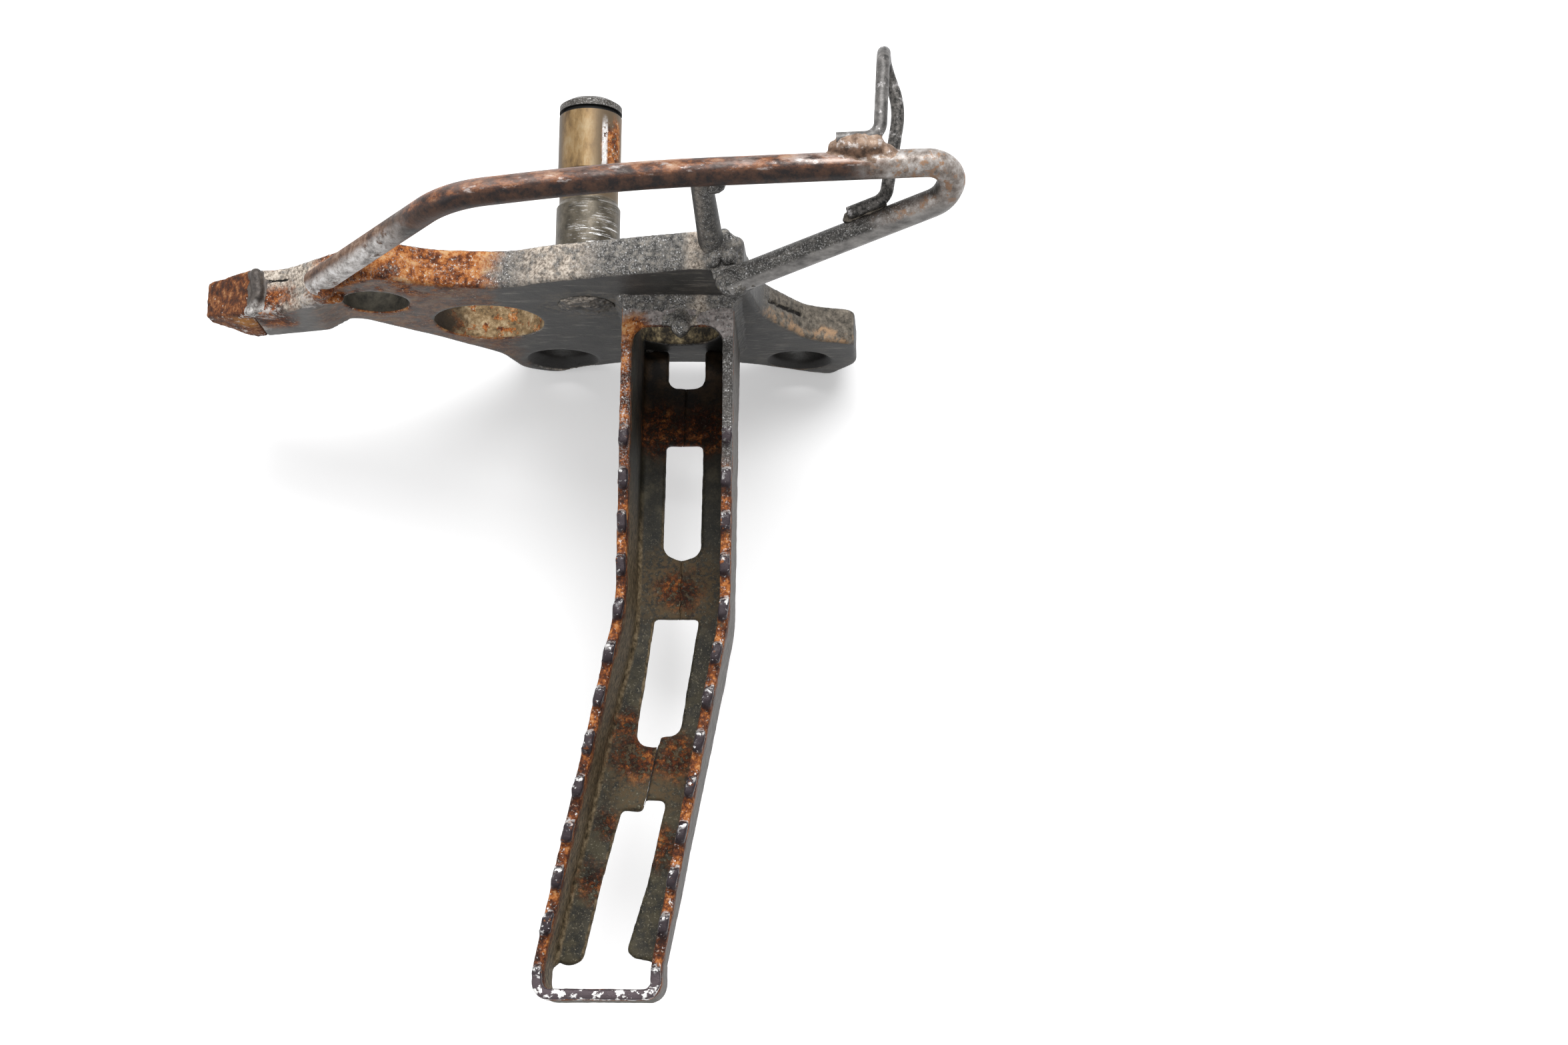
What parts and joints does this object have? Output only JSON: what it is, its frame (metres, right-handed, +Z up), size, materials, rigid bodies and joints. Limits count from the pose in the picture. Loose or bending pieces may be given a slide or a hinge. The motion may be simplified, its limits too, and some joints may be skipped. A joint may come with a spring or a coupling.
{
  "type": "atv foot peg",
  "caption": "Welded steel foot peg: toothed folded channel on a bolted bracket plate, with a pedal pivot shaft, a heel guard and a hose guide.",
  "frame": {"origin": "midway between the two bolt holes, on the rear face of the mounting plate that seats on the machine", "axes": "+X along the bolt holes away from the long arm, +Y out of the rear face towards the machine, +Z up; the peg reaches out along -Y"},
  "size_m": [0.2021, 0.238, 0.131],
  "materials": {
    "bracket_paint": "weathered dark grey paint with pale metallic speckle and rust",
    "rusted_steel": "rusted steel with remains of grey paint",
    "tread_steel": "dark worn paint, rust in the folds and bare bright tooth crests",
    "shaft_steel": "dull turned steel with a tan film and one rust streak",
    "rod_steel": "grey paint worn to brown primer and bright metal",
    "wire_steel": "thin grey paint with bare bright patches",
    "weld_metal": "painted-over weld metal, pitted and lumpy"
  },
  "bodies": {
    "root": {"mounting_plate": "bracket_paint", "arm_stop_lug": "rusted_steel", "peg_channel": "tread_steel", "pivot_shaft": "shaft_steel", "heel_guard_hoop": "rod_steel", "guard_stay": "bracket_paint", "hose_guide_loop": "wire_steel", "weld_channel_top": "weld_metal", "weld_channel_left": "weld_metal", "weld_channel_right": "weld_metal", "weld_roof_seam": "weld_metal", "weld_shaft_plug": "weld_metal", "weld_stop_lug": "weld_metal", "weld_guard_arm_front": "weld_metal", "weld_guard_arm_rear": "weld_metal", "weld_guard_head": "weld_metal", "weld_stay_foot": "weld_metal", "weld_stay_head": "weld_metal", "weld_guide_upper": "weld_metal", "weld_guide_lower": "weld_metal"}
  },
  "joints": []
}
